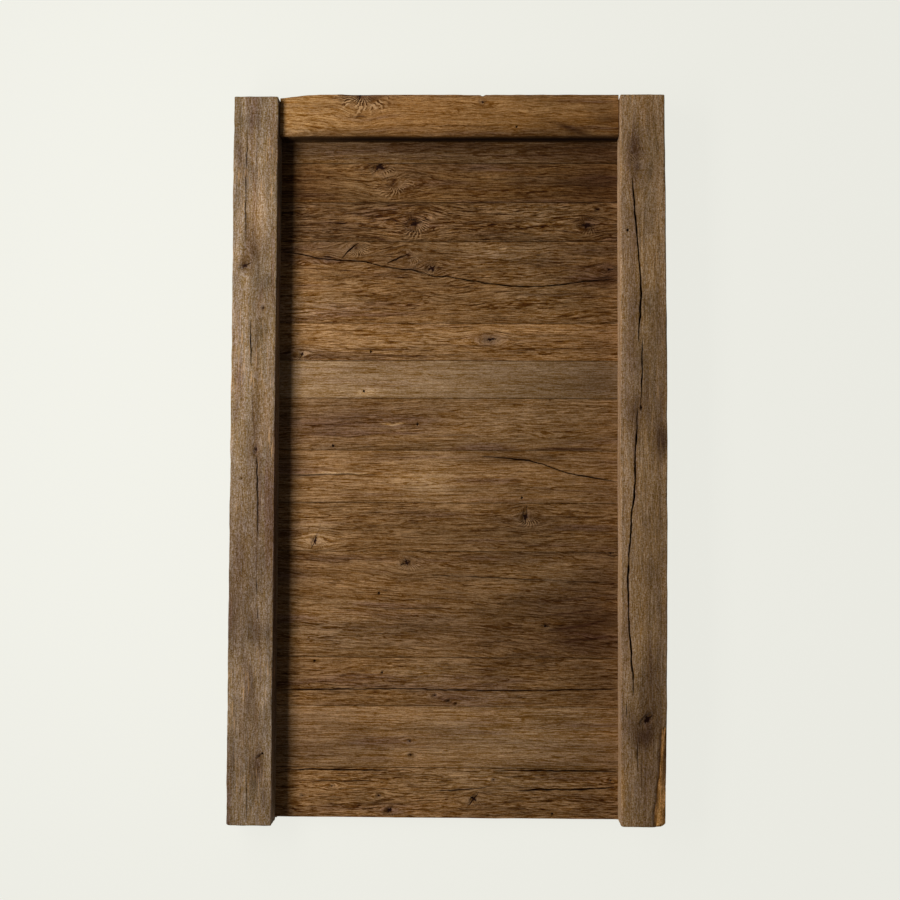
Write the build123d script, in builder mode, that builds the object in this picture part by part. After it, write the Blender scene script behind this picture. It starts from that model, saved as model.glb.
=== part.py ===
from build123d import *
import os

# A wall cladding panel of old timber, lying face up on the backs of its two posts.
# X runs across it, Y from the posts' feet to their heads, Z out of its face.
# The origin is the middle of the plane that the posts lie on.

# Driving dimensions of the frame, in millimetres
panel_width = 1000
panel_height = 1681
left_post_width = 104
right_post_width = 108
post_depth = 100
post_arris = 4
post_belly = 5
right_post_lift = 4
rail_height = 100
rail_rise = 12
rail_setback = 24
rail_arris = 2.5
rail_dip = 8
rail_dip_run = 110
shoulder_gap = 0.8

# Driving dimensions of the boards; the random widths, counted from the feet to the head,
# keep their proportions and are ripped to fill the height between the gap and the rail
random_widths = (115, 141, 112, 245, 113, 122, 122, 88, 88, 193, 92, 93, 51)
board_thickness = 22
board_arris = 0.9
board_joint = 0.5
face_recess = 70
foot_gap = 6

# Housings, tongues and their clearances
housing_depth = 15
tongue_length = 8
tongue_thickness = 7
end_clearance = 0.6
side_clearance = 0.2

# Wear: rounded feet, the broken arris, drying splits and old nail holes
foot_round = 5
foot_chamfer = 6
wane_length = 250
wane_width = 32
wane_depth = 14
split_depth = 14
post_split_width = 4
board_split_width = 2.6
nail_hole_radius = 2.2
nail_hole_depth = 6

# Places worked out from them
post_length = panel_height - rail_rise
field_height = panel_height - rail_height - foot_gap
board_widths = [width * field_height / sum(random_widths) for width in random_widths]
foot_y = -panel_height / 2
left_x = -panel_width / 2
right_x = panel_width / 2
left_inner_x = left_x + left_post_width
right_inner_x = right_x - right_post_width
opening = right_inner_x - left_inner_x
middle_x = (left_inner_x + right_inner_x) / 2
right_foot_y = foot_y + right_post_lift
board_face_z = post_depth - face_recess
board_back_z = board_face_z - board_thickness
board_middle_z = board_back_z + board_thickness / 2
board_length = opening + 2 * (housing_depth - end_clearance)
housing_height = board_thickness + 2 * side_clearance
rail_face_z = post_depth - rail_setback
rail_y = foot_y + foot_gap + field_height
belly_run = post_length / 2
wane_end_x = right_x - post_belly * (1 - wane_length / belly_run) ** 2

# Old nail holes: board counted from the feet, share of the opening, share of the board's width
board_nails = (
    (1, 0.81, 0.10), (3, 0.11, 0.85), (3, 0.31, 0.68), (4, 0.30, 0.60), (4, 0.79, 0.30),
    (6, 0.72, 0.10), (7, 0.16, 0.08), (7, 0.41, 0.50), (8, 0.25, 0.18), (9, 0.27, 0.24),
)
rail_nail = (0.70, 0.24)
left_post_nail = (0.79, 0.10)
right_post_nail = (0.16, 0.81)

# Drying splits as a course of points: share of the width across, share of the length up
left_post_splits = (
    ((0.43, 0.63), (0.42, 0.66), (0.43, 0.69)),
    ((0.64, 0.38), (0.63, 0.44), (0.60, 0.51)),
    ((0.67, 0.27), (0.64, 0.30), (0.61, 0.34)),
)
right_post_splits = (
    ((0.24, 0.89), (0.32, 0.83), (0.40, 0.77), (0.445, 0.725), (0.38, 0.655)),
    ((0.46, 0.663), (0.46, 0.625), (0.42, 0.568)),
    ((0.36, 0.567), (0.315, 0.505), (0.285, 0.44), (0.19, 0.38), (0.155, 0.315),
     (0.17, 0.262), (0.23, 0.215), (0.27, 0.174)),
)
wide_board = 10
wide_board_split = (
    (0.0, 0.87), (0.115, 0.785), (0.21, 0.763), (0.30, 0.696), (0.40, 0.64), (0.46, 0.57),
    (0.51, 0.565), (0.59, 0.505), (0.70, 0.45), (0.82, 0.458), (1.0, 0.536),
)


def split_mouth(course, bank_x, bank_y, face_z):
    """The mouth of a split in a face: pointed at both ends, open between."""
    start, *middle, end = course
    with BuildSketch(Plane.XY.offset(face_z)) as mouth:
        with BuildLine():
            Spline(start, *[(x - bank_x, y - bank_y) for x, y in middle], end)
            Spline(start, *[(x + bank_x, y + bank_y) for x, y in middle], end)
        make_face()
    return mouth.sketch


def on_post(shares, inner_x, outer_x, from_y):
    """Points on a post's face, across from its left side and up from its foot."""
    low_x = min(inner_x, outer_x)
    width = abs(outer_x - inner_x)
    return [(low_x + across * width, from_y + up * post_length) for across, up in shares]


def on_board(shares, low_y, width):
    """Points on a board's or the rail's face, across from the left post, up from its lower edge."""
    return [(left_inner_x + across * opening, low_y + up * width) for across, up in shares]


def housing(inner_x, side, from_y):
    """The outline of the groove along a post's inner side, for the ends of the boards."""
    with BuildSketch(Plane.XY.offset(board_back_z - side_clearance)) as groove:
        with Locations((inner_x, from_y)):
            Rectangle(housing_depth, post_length, align=(side, Align.MIN))
    return groove.sketch


with BuildPart() as left_post:
    with BuildSketch() as outline:
        with Locations((left_x, foot_y)):
            Rectangle(left_post_width, post_length, align=(Align.MIN, Align.MIN))
        fillet(outline.vertices().sort_by(Axis.Y)[:2].sort_by(Axis.X)[0], foot_round)
    extrude(amount=post_depth)
    fillet(left_post.faces().sort_by(Axis.Z)[-1].edges(), post_arris)
    extrude(housing(left_inner_x, Align.MAX, foot_y), amount=housing_height, mode=Mode.SUBTRACT)
    for course in left_post_splits:
        points = on_post(course, left_inner_x, left_x, foot_y)
        mouth = split_mouth(points, post_split_width / 4, 0, post_depth)
        extrude(mouth, amount=-split_depth, mode=Mode.SUBTRACT)
    with Locations((*on_post([left_post_nail], left_inner_x, left_x, foot_y)[0], post_depth)):
        Hole(nail_hole_radius, nail_hole_depth)

with BuildPart() as right_post:
    with BuildSketch() as outline:
        with BuildLine():
            end_x = right_x - post_belly
            inner = Line((right_inner_x, right_foot_y), (right_inner_x, right_foot_y + post_length))
            head = Line(inner @ 1, (end_x, right_foot_y + post_length))
            outer = ThreePointArc(
                head @ 1, (right_x, right_foot_y + belly_run), (end_x, right_foot_y)
            )
            Line(outer @ 1, inner @ 0)
        make_face()
        fillet(outline.vertices().sort_by(Axis.Y)[:2].sort_by(Axis.X)[0], foot_round)
        chamfer(outline.vertices().sort_by(Axis.Y)[:3].sort_by(Axis.X)[-1], foot_chamfer)
    extrude(amount=post_depth)
    fillet(right_post.faces().sort_by(Axis.Z)[-1].edges(), post_arris)
    extrude(housing(right_inner_x, Align.MIN, right_foot_y), amount=housing_height, mode=Mode.SUBTRACT)
    with BuildSketch(Plane.XZ.offset(-right_foot_y)) as broken_foot:
        with Locations((end_x, post_depth)):
            Polygon((0, 0), (-wane_width, 0), (0, -wane_depth), align=None)
    with BuildSketch(Plane.XZ.offset(-right_foot_y - wane_length)) as broken_end:
        with Locations((wane_end_x, post_depth)):
            Polygon((0, 0), (-post_arris / 4, 0), (0, -post_arris / 4), align=None)
    loft(mode=Mode.SUBTRACT)
    for course in right_post_splits:
        points = on_post(course, right_inner_x, right_x, right_foot_y)
        mouth = split_mouth(points, post_split_width / 2, 0, post_depth)
        extrude(mouth, amount=-split_depth, mode=Mode.SUBTRACT)
    with Locations((*on_post([right_post_nail], right_inner_x, right_x, right_foot_y)[0], post_depth)):
        Hole(nail_hole_radius, nail_hole_depth)

with BuildPart() as top_rail:
    with BuildSketch(Plane.XY.offset(board_back_z)):
        with BuildLine():
            rail_left = left_inner_x + shoulder_gap
            rail_right = right_inner_x - shoulder_gap
            rail_top = rail_y + rail_height
            under = Line((rail_right, rail_y), (rail_left, rail_y))
            shoulder = Line(under @ 1, (rail_left, rail_top - rail_dip))
            dip = Bezier(
                shoulder @ 1,
                (rail_left + rail_dip_run / 4, rail_top - rail_dip),
                (rail_left + rail_dip_run / 3, rail_top),
                (rail_left + rail_dip_run, rail_top),
            )
            Polyline(dip @ 1, (rail_right, rail_top), under @ 0)
        make_face()
    extrude(amount=rail_face_z - board_back_z)
    chamfer(top_rail.faces().sort_by(Axis.Z)[-1].edges(), rail_arris)
    with BuildSketch(Plane.XY.offset(board_back_z)):
        with Locations((middle_x, rail_y)):
            Rectangle(board_length, rail_height - rail_rise, align=(Align.CENTER, Align.MIN))
    extrude(amount=board_thickness)
    with BuildSketch(Plane.YZ.offset(middle_x)):
        with Locations((rail_y, board_middle_z)):
            Rectangle(
                tongue_length - board_joint + end_clearance,
                tongue_thickness + 2 * side_clearance,
                align=(Align.MIN, Align.CENTER),
            )
    extrude(amount=board_length / 2, both=True, mode=Mode.SUBTRACT)
    with Locations((*on_board([rail_nail], rail_y, rail_height)[0], rail_face_z)):
        Hole(nail_hole_radius, nail_hole_depth)

boards = []
low_y = foot_y + foot_gap
for number, width in enumerate(board_widths, start=1):
    with BuildPart() as board:
        shoulder_y = low_y + width - board_joint
        with BuildSketch(Plane.YZ.offset(middle_x)) as section:
            with Locations((low_y, board_back_z)):
                Rectangle(width - board_joint, board_thickness, align=(Align.MIN, Align.MIN))
            chamfer(section.vertices().group_by(Axis.Z)[-1], board_arris)
            with Locations((shoulder_y, board_middle_z)):
                Rectangle(tongue_length, tongue_thickness, align=(Align.MIN, Align.CENTER))
            if number > 1:
                with Locations((low_y, board_middle_z)):
                    Rectangle(
                        tongue_length - board_joint + end_clearance,
                        tongue_thickness + 2 * side_clearance,
                        align=(Align.MIN, Align.CENTER),
                        mode=Mode.SUBTRACT,
                    )
        extrude(amount=board_length / 2, both=True)
        if number == wide_board:
            points = on_board(wide_board_split, low_y, width)
            mouth = split_mouth(points, 0, board_split_width / 2, board_face_z)
            extrude(mouth, amount=-board_thickness / 2, mode=Mode.SUBTRACT)
        nails = on_board([(a, u) for n, a, u in board_nails if n == number], low_y, width)
        if nails:
            with Locations([(x, y, board_face_z) for x, y in nails]):
                Hole(nail_hole_radius, nail_hole_depth)
    board.part.label = f"board_{number:02d}"
    boards.append(board)
    low_y += width

left_post.part.label = "left_post"
right_post.part.label = "right_post"
top_rail.part.label = "top_rail"

os.makedirs("parts", exist_ok=True)
for piece in (left_post, right_post, top_rail, *boards):
    export_step(piece.part, f"parts/{piece.part.label}.step")
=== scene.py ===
"""A wall cladding panel of old timber, lying face up and seen from above.

Each post, the rail and each board is a closed mesh swept along its grain, with relief, splits,
knots and nail holes in its surface and a procedural timber finish.
Timber is described in millimetres and becomes metres where a mesh is made.
"""

import math
from dataclasses import dataclass

import bpy
import numpy as np
from bpy.props import FloatProperty, FloatVectorProperty, IntProperty, PointerProperty
from mathutils import Matrix, Vector


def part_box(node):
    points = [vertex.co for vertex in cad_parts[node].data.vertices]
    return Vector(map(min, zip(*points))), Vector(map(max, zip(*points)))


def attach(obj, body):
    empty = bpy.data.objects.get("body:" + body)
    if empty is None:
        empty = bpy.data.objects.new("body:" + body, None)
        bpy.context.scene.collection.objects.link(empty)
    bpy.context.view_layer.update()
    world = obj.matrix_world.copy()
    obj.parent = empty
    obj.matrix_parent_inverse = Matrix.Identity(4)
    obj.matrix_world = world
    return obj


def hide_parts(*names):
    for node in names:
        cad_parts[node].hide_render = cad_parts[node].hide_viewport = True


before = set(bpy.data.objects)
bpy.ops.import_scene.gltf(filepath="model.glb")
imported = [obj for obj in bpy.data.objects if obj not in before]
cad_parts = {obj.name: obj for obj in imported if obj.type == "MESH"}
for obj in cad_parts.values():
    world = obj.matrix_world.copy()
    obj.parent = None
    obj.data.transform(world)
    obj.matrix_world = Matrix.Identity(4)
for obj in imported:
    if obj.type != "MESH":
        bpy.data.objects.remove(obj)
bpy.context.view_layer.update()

bl_info = {
    "name": "Old timber cladding panel",
    "version": (1, 0, 0),
    "blender": (4, 5, 0),
    "location": "View3D > Sidebar > Cladding",
    "description": "Builds a cladding panel of random-width boards between two old posts",
    "category": "Add Mesh",
}

METRE = 0.001
LATTICE = 512
PAINT_COLOURS = ("brown", "gold", "honey", "umber", "plum", "bare", "pale", "pitch", "underside_shade")


def dye(red, green, blue):
    """A linear colour from the usual 0 to 255 values."""
    shares = [value / 255 for value in (red, green, blue)]
    return tuple(s / 12.92 if s < 0.04045 else ((s + 0.055) / 1.055) ** 2.4 for s in shares)


def node_box(node):
    """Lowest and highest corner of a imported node, in millimetres."""
    low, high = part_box(node)
    return np.array(low) / METRE, np.array(high) / METRE


# Marks in the timber, and some stains and streaks that are painted light and shade. Along is measured from a board's
# left end in the opening, or from a post's foot; across is measured from a board's lower edge, or from a post's left
# side.
@dataclass
class Knot:
    along: float
    across: float
    reach: float
    core: float = 5.0
    opening: float = 0.5
    tilt: float = 0.0
    halo: float = 0.5
    stretch: float = 1.3


@dataclass
class Split:
    course: tuple
    width: float = 1.6
    depth: float = 4.0
    dark: float = 1.0


@dataclass
class Stain:
    along: float
    across: float
    reach_along: float
    reach_across: float
    strength: float
    dye: str = "umber"
    slant: float = 0.0


@dataclass
class Streak:
    course: tuple
    width: float
    strength: float
    dye: str = "pitch"


@dataclass
class Timber:
    """How one length of timber looks: its tone, its grain and its marks."""
    shade: float
    warmth: float = 0.5
    coarse: float = 0.5
    wave: float = 0.5
    slope: float = 0.0
    seed: int = 0
    knots: tuple = ()
    splits: tuple = ()
    nails: tuple = ()
    stains: tuple = ()
    streaks: tuple = ()
    cloud: float = 0.07


BOARDS = (
    Timber(
        1.07, 0.5, 0.75, 0.5, 0.004, 101,
        knots=(
            Knot(129, 71, 16, 3.5, 0.5), Knot(60, 49, 15, 3.5, 0.5), Knot(238, 50, 17, 4, 0.6, halo=0.9),
            Knot(262, 17, 22, 8, 0.8, 0.6, 0.9), Knot(457, 44, 24, 8, 0.9, 0.9, 0.8), Knot(503, 88, 16, 3.5, 0.5),
            Knot(772, 88, 14, 4, 0.6),
        ),
        splits=(
            Split(((502, 109), (560, 110), (640, 109), (787, 110)), 4.2, 7),
            Split(((548, 62), (610, 66), (700, 66), (784, 73)), 4.8, 8),
            Split(((356, 60), (430, 65), (502, 72)), 2.8, 5), Split(((20, 108), (90, 109), (170, 107), (260, 109)), 3.6, 6),
            Split(((60, 84), (150, 82), (240, 85)), 1.8, 3),
        ),
        nails=((638, 11),),
        stains=(
            Stain(520, 100, 120, 26, 0.2), Stain(262, 17, 30, 14, 0.7, "plum"), Stain(490, 88, 220, 34, 0.3, "bare"),
            Stain(490, 25, 80, 26, 0.22), Stain(740, 28, 70, 36, 0.3),
        ),
        streaks=(
            Streak(((130, 34), (240, 31), (330, 33)), 1.4, 0.5),
        ),
    ),
    Timber(
        1.08, 0.3, 0.32, 0.3, 0.002, 102,
        knots=(Knot(309, 60, 15, 3.5, 0.6), Knot(311, 28, 18, 4, 0.6, halo=0.8)),
        stains=(
            Stain(690, 40, 110, 60, 0.2), Stain(80, 70, 110, 80, 0.4), Stain(560, 70, 170, 80, 0.24, "bare"),
            Stain(210, 70, 90, 60, 0.14),
        ),
    ),
    Timber(
        0.84, 0.55, 0.6, 0.5, 0.0, 103,
        knots=(Knot(366, 24, 17, 4, 0.6, 0.3), Knot(415, 5, 13, 3, 0.6, 0.6), Knot(398, 12, 12, 3, 0.7, 0.5)),
        splits=(Split(((4, 35), (140, 37), (290, 39), (401, 37), (560, 36), (690, 40), (785, 40)), 2.6, 5),),
        nails=((87, 102), (244, 76)),
        stains=(
            Stain(560, 98, 260, 16, 0.4), Stain(430, 16, 90, 18, 0.35, "plum"),
            Stain(80, 80, 100, 40, 0.26), Stain(350, 75, 100, 34, 0.2, "bare"), Stain(740, 60, 80, 60, 0.34),
            Stain(500, 20, 90, 24, 0.22, "bare"),
        ),
        streaks=(Streak(((362, 24), (385, 15), (417, 3)), 2.2, 0.7),),
    ),
    Timber(
        0.76, 0.5, 0.55, 0.6, 0.05, 104,
        knots=(Knot(300, 218, 34, 8, 0.8, 0.4, 0.9), Knot(773, 246, 18, 6, 0.8, 0.1), Knot(622, 73, 14, 6, 0.9, 0.1)),
        splits=(
            Split(((354, 189), (450, 187), (563, 182), (680, 177), (785, 174)), 1.1, 2.0),
            Split(((190, 112), (300, 112), (436, 116)), 0.7, 1.2, 0.8),
        ),
        nails=((236, 147), (622, 73)),
        stains=(
            Stain(740, 80, 110, 80, 0.62, "pitch", 0.1), Stain(640, 130, 120, 50, 0.5, "umber", 0.1),
            Stain(120, 200, 120, 40, 0.1, "umber"), Stain(560, 30, 150, 24, 0.35, "pitch"),
            Stain(160, 60, 150, 60, 0.12, "bare"), Stain(460, 60, 110, 60, 0.25, "umber"),
            Stain(380, 190, 100, 50, 0.18, "umber"), Stain(620, 190, 80, 40, 0.15, "bare"),
            Stain(745, 200, 70, 50, 0.3, "umber"),
        ),
        streaks=(
            Streak(((610, 60), (690, 72), (787, 92)), 2.5, 0.8), Streak(((560, 128), (660, 133), (787, 150)), 1.8, 0.6),
            Streak(((640, 36), (720, 44), (787, 52)), 2.0, 0.8), Streak(((600, 96), (700, 106), (787, 122)), 1.8, 0.7),
            Streak(((20, 60), (200, 68), (380, 72)), 1.3, 0.4),
        ),
    ),
    Timber(
        0.75, 0.5, 0.6, 0.4, 0.0, 105,
        knots=(Knot(576, 81, 36, 10, 0.9, 1.5, 1.0), Knot(85, 23, 34, 7, 0.9, 1.1, 0.8)),
        stains=(Stain(576, 80, 46, 26, 0.45), Stain(85, 40, 40, 34, 0.3, "bare")),
        streaks=(Streak(((85, 30), (96, 52), (100, 84)), 2.0, 0.4), Streak(((610, 84), (700, 80), (787, 84)), 1.3, 0.6)),
    ),
    Timber(
        0.95, 0.4, 0.45, 0.3, -0.01, 106,
        splits=(
            Split(((4, 63), (60, 63), (119, 65), (224, 65)), 2.8, 4, 0.6),
            Split(((469, 109), (520, 105), (584, 99), (630, 86), (673, 70), (730, 60), (792, 50)), 3.0, 6),
        ),
        nails=((567, 12),),
        stains=(Stain(350, 55, 60, 46, 0.36, "bare"), Stain(760, 30, 60, 60, 0.35)),
        streaks=(
            Streak(((60, 67), (120, 68), (170, 68), (230, 67)), 1.8, 0.8, "bare"),
            Streak(((540, 40), (660, 30), (786, 26)), 1.4, 0.6),
        ),
    ),
    Timber(
        0.85, 0.35, 0.5, 0.5, -0.02, 107,
        nails=((126, 10), (323, 61)),
        stains=(
            Stain(130, 60, 150, 26, 0.45, "plum"), Stain(300, 72, 80, 12, 0.4, "plum"),
            Stain(600, 60, 170, 40, 0.1, "umber"), Stain(130, 70, 150, 80, 0.4, "umber"),
            Stain(560, 70, 150, 60, 0.14, "bare"),
        ),
        streaks=(
            Streak(((562, 3), (640, 4), (787, 5)), 3.2, 0.85), Streak(((20, 64), (130, 58), (220, 68)), 1.6, 0.6),
            Streak(((40, 38), (90, 40), (170, 30)), 1.4, 0.5), Streak(((230, 66), (262, 60), (300, 64)), 1.4, 0.9, "bare"),
            Streak(((300, 30), (420, 36), (520, 30)), 1.4, 0.5),
        ),
    ),
    Timber(
        0.6, 0.05, 0.15, 0.25, 0.0, 108,
        nails=((197, 16),),
        stains=(Stain(393, 44, 1200, 300, 0.27, "bare"), Stain(202, 12, 26, 8, 0.6, "bare"), Stain(640, 40, 160, 50, 0.15, "umber"),
                Stain(750, 45, 80, 70, 0.35, "umber"), Stain(70, 45, 90, 60, 0.12, "bare")),
    ),
    Timber(
        1.12, 0.5, 0.6, 0.45, 0.0, 109,
        knots=(Knot(490, 50, 28, 10, 0.6, 0.15, 0.9, 1.7), Knot(51, 15, 28, 7, 0.8, 1.2, 0.9)),
        nails=((213, 21),),
        stains=(
            Stain(490, 50, 30, 12, 0.4, "umber"), Stain(75, 14, 60, 12, 0.45, "umber"), Stain(150, 8, 200, 9, 0.6, "umber"), Stain(51, 13, 18, 8, 0.4, "bare"),
            Stain(250, 50, 300, 50, 0.12, "bare"), Stain(750, 45, 80, 60, 0.28, "umber"),
        ),
        streaks=(
            Streak(((150, 28), (230, 25), (330, 27)), 1.6, 0.8), Streak(((110, 22), (240, 12), (420, 8)), 1.5, 0.8),
            Streak(((300, 40), (430, 34), (560, 34)), 1.4, 0.7), Streak(((460, 18), (600, 26), (780, 30)), 1.5, 0.6),
        ),
    ),
    Timber(
        0.82, 0.55, 0.7, 0.8, -0.02, 110,
        knots=(Knot(354, 130, 34, 10, 0.8, 0.5, 0.8), Knot(769, 128, 26, 7, 0.5, 0.0, 0.5),
            Knot(176, 178, 34, 4, 0.3, 0.7, 1.0), Knot(300, 160, 36, 4, 0.3, 0.4, 1.0), Knot(112, 150, 22, 4, 0.3, 0.4, 0.7),
        ),
        splits=(
            Split((
                (0, 168), (48.5, 163), (90.5, 152), (132.5, 149), (164.5, 148), (200.5, 144), (235.5, 135),
                (277.5, 129), (318.5, 124), (360.5, 110), (397.5, 110), (427.5, 104), (463.5, 98), (531.5, 88),
                (589.5, 87), (646.5, 89), (716.5, 100), (788, 104),
            ), 2.6, 9),
            Split(((143.5, 153), (158, 170), (183.5, 192)), 4.2, 8),
            Split(((247.5, 140), (276, 154), (304.5, 166)), 3.8, 7),
            Split(((98.5, 149), (111, 136), (124.5, 126)), 1.8, 4),
            Split(((724.5, 94), (756, 92), (787.5, 93)), 1.8, 4),
        ),
        stains=(
            Stain(120, 170, 90, 22, 0.5, "umber"), Stain(330, 132, 70, 18, 0.5, "umber"),
            Stain(740, 96, 90, 16, 0.6, "pitch"), Stain(769, 126, 34, 22, 0.6, "pitch"),
            Stain(420, 150, 200, 26, 0.25, "umber"), Stain(40, 40, 110, 30, 0.3, "bare"),
            Stain(500, 165, 110, 34, 0.26, "bare"), Stain(610, 60, 110, 50, 0.18, "bare"),
        ),
        streaks=(
            Streak(((500, 70), (640, 66), (787, 74)), 1.8, 0.6), Streak(((560, 128), (660, 136), (760, 130)), 1.6, 0.6),
            Streak(((20, 132), (120, 128), (230, 112)), 1.5, 0.5), Streak(((300, 96), (400, 88), (500, 78)), 1.6, 0.5),
        ),
    ),
    Timber(
        0.7, 0.55, 0.9, 0.8, -0.015, 111,
        knots=(
            Knot(312, 42, 54, 13, 0.8, 0.35, 1.0), Knot(717, 39, 36, 11, 1.0, 0.1, 0.8), Knot(744, 77, 18, 5, 0.7, 0.2),
        ),
        stains=(
            Stain(314, 43, 46, 20, 0.5, "plum"), Stain(717, 39, 34, 16, 0.5, "pitch"), Stain(120, 30, 130, 34, 0.35, "umber"),
            Stain(520, 50, 160, 34, 0.2, "umber"), Stain(80, 50, 90, 60, 0.25, "umber"),
            Stain(610, 50, 90, 50, 0.22, "bare"),
        ),
        streaks=(
            Streak(((30, 40), (140, 44), (270, 36)), 1.8, 0.6), Streak(((370, 50), (480, 44), (620, 52)), 1.6, 0.5),
            Streak(((640, 24), (700, 22), (780, 30)), 1.8, 0.6), Streak(((213, 15), (232, 8), (248, 2)), 2.4, 0.8),
        ),
    ),
    Timber(
        0.54, 0.95, 0.65, 0.35, 0.01, 112,
        knots=(Knot(228, 86, 52, 12, 0.9, 0.9, 1.0), Knot(262, 44, 54, 4, 0.2, 0.8, 1.0)),
        stains=(Stain(228, 84, 40, 14, 0.4, "umber"), Stain(420, 86, 190, 10, 0.4, "umber"), Stain(250, 50, 44, 22, 0.3, "gold"),
                # The stain at along 50 is painted shade that widens the left post's shadow over the board's left end.
                Stain(50, 46, 80, 70, 0.36, "pitch"), Stain(750, 46, 100, 70, 0.5, "pitch"), Stain(210, 40, 80, 40, 0.1, "bare")),
        streaks=(Streak(((228, 74), (246, 58), (262, 36)), 2.0, 0.5),),
    ),
    Timber(
        0.56, 0.35, 0.55, 0.4, 0.0, 113,
        # The first stain is painted shade: a long dark band along the board's top, just under the rail.
        stains=(Stain(300, 40, 400, 12, 0.5, "pitch"), Stain(640, 20, 160, 24, 0.3, "pitch"),
                Stain(745, 25, 100, 50, 0.45, "pitch"), Stain(150, 25, 150, 40, 0.08, "bare")),
        streaks=(Streak(((40, 10), (230, 14), (420, 10)), 1.5, 0.6), Streak(((380, 20), (560, 18), (740, 22)), 1.5, 0.5)),
    ),
)

RAIL = Timber(
    0.98, 0.95, 0.38, 0.8, 0.0, 121,
    knots=(Knot(188, 100, 78, 8, 0.8, 1.3, 1.7, 0.6), Knot(472.5, 82, 20, 5, 0.6, halo=0.4)),
    nails=((551, 24),),
    stains=(
        Stain(190, 100, 60, 22, 0.5, "umber"), Stain(196, 96, 48, 13, 0.72, "pitch"), Stain(672, 21, 50, 8, 0.85, "pitch", -0.36), Stain(762, 42, 34, 18, 0.5, "pitch"),
        Stain(460, 96, 330, 8, 0.35, "umber"), Stain(20, 60, 110, 80, 0.42, "honey"),
        Stain(150, 30, 90, 40, 0.15, "honey"), Stain(560, 50, 150, 60, 0.1, "honey"),
    ),
    streaks=(
        # The first streak is painted shade: it darkens the rail's underside as if no light reached it.
        Streak(((-900, -28), (2600, -28)), 30, 1.0, "underside_shade"),
        Streak(((165, 46), (186, 49), (205, 46)), 2.0, 0.8), Streak(((140, 62), (160, 80), (176, 96)), 2.0, 0.7, "bare"),
        Streak(((196, 96), (212, 74), (236, 60)), 2.0, 0.6, "bare"), Streak(((300, 22), (420, 26), (540, 20)), 1.4, 0.5),
    ),
)

LEFT_POST = Timber(
    1.0, 0.5, 0.5, 0.35, 0.0, 131,
    knots=(
        Knot(1275, 30, 34, 8, 0.8, 1.1, 0.3), Knot(1177, 73.5, 20, 4.5, 0.6), Knot(851, 60.5, 22, 6, 0.8, 0.2, 0.4),
        Knot(785, 27.5, 12, 3, 0.4), Knot(156, 75, 16, 4, 0.9, 0.9, 0.4),
    ),
    splits=(
        Split(((1590, 33), (1480, 31), (1400, 30), (1332, 31)), 1.4, 3),
        Split(((1149, 44.5), (1100, 45), (1043, 47.5)), 2.0, 8),
        Split(((843, 61.5), (740, 65), (645, 66.5)), 2.2, 9),
        Split(((558, 63.5), (540, 64.5), (520, 65.5)), 1.6, 6),
        Split(((493, 68.5), (480, 69), (464, 69.5)), 1.6, 6),
        Split(((107, 47.5), (60, 47), (8, 46.5)), 1.2, 3),
    ),
    nails=((162, 82.5),),
    stains=(
        Stain(1322, 50, 50, 24, 0.45, "pitch"), Stain(1285, 27, 30, 12, 0.5, "pitch"), Stain(1500, 22, 60, 16, 0.3, "pitch"),
        Stain(1177, 66, 50, 22, 0.35, "umber"), Stain(850, 60, 46, 16, 0.45, "pitch"), Stain(700, 66, 90, 9, 0.3, "umber"),
        Stain(140, 74, 40, 16, 0.5, "umber"), Stain(60, 90, 60, 22, 0.3, "umber"), Stain(1000, 95, 300, 14, 0.25, "umber"),
        Stain(450, 20, 160, 18, 0.2, "umber"), Stain(560, 52, 280, 120, 0.42, "umber"),
        Stain(740, 52, 160, 120, 0.16, "umber"), Stain(150, 52, 150, 120, 0.12, "umber"),
        Stain(1537, 15, 34, 12, 0.45, "pitch"), Stain(1019, 15, 34, 14, 0.4, "plum"), Stain(335, 50, 56, 14, 0.45, "pitch"),
        Stain(440, 68, 40, 12, 0.35, "pitch"), Stain(130, 70, 44, 14, 0.45, "pitch"), Stain(1400, 60, 70, 22, 0.3, "bare"),
        Stain(930, 84, 80, 18, 0.2, "bare"),
    ),
    streaks=(
        Streak(((1660, 58), (1560, 55), (1450, 54), (1390, 56)), 1.4, 0.5), Streak(((460, 70), (370, 74), (285, 76.5)), 1.2, 0.5),
        Streak(((1040, 47), (940, 52), (860, 58)), 1.3, 0.4), Streak(((640, 66), (600, 64), (560, 63)), 1.2, 0.4),
    ),
    cloud=0.26,
)

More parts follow.
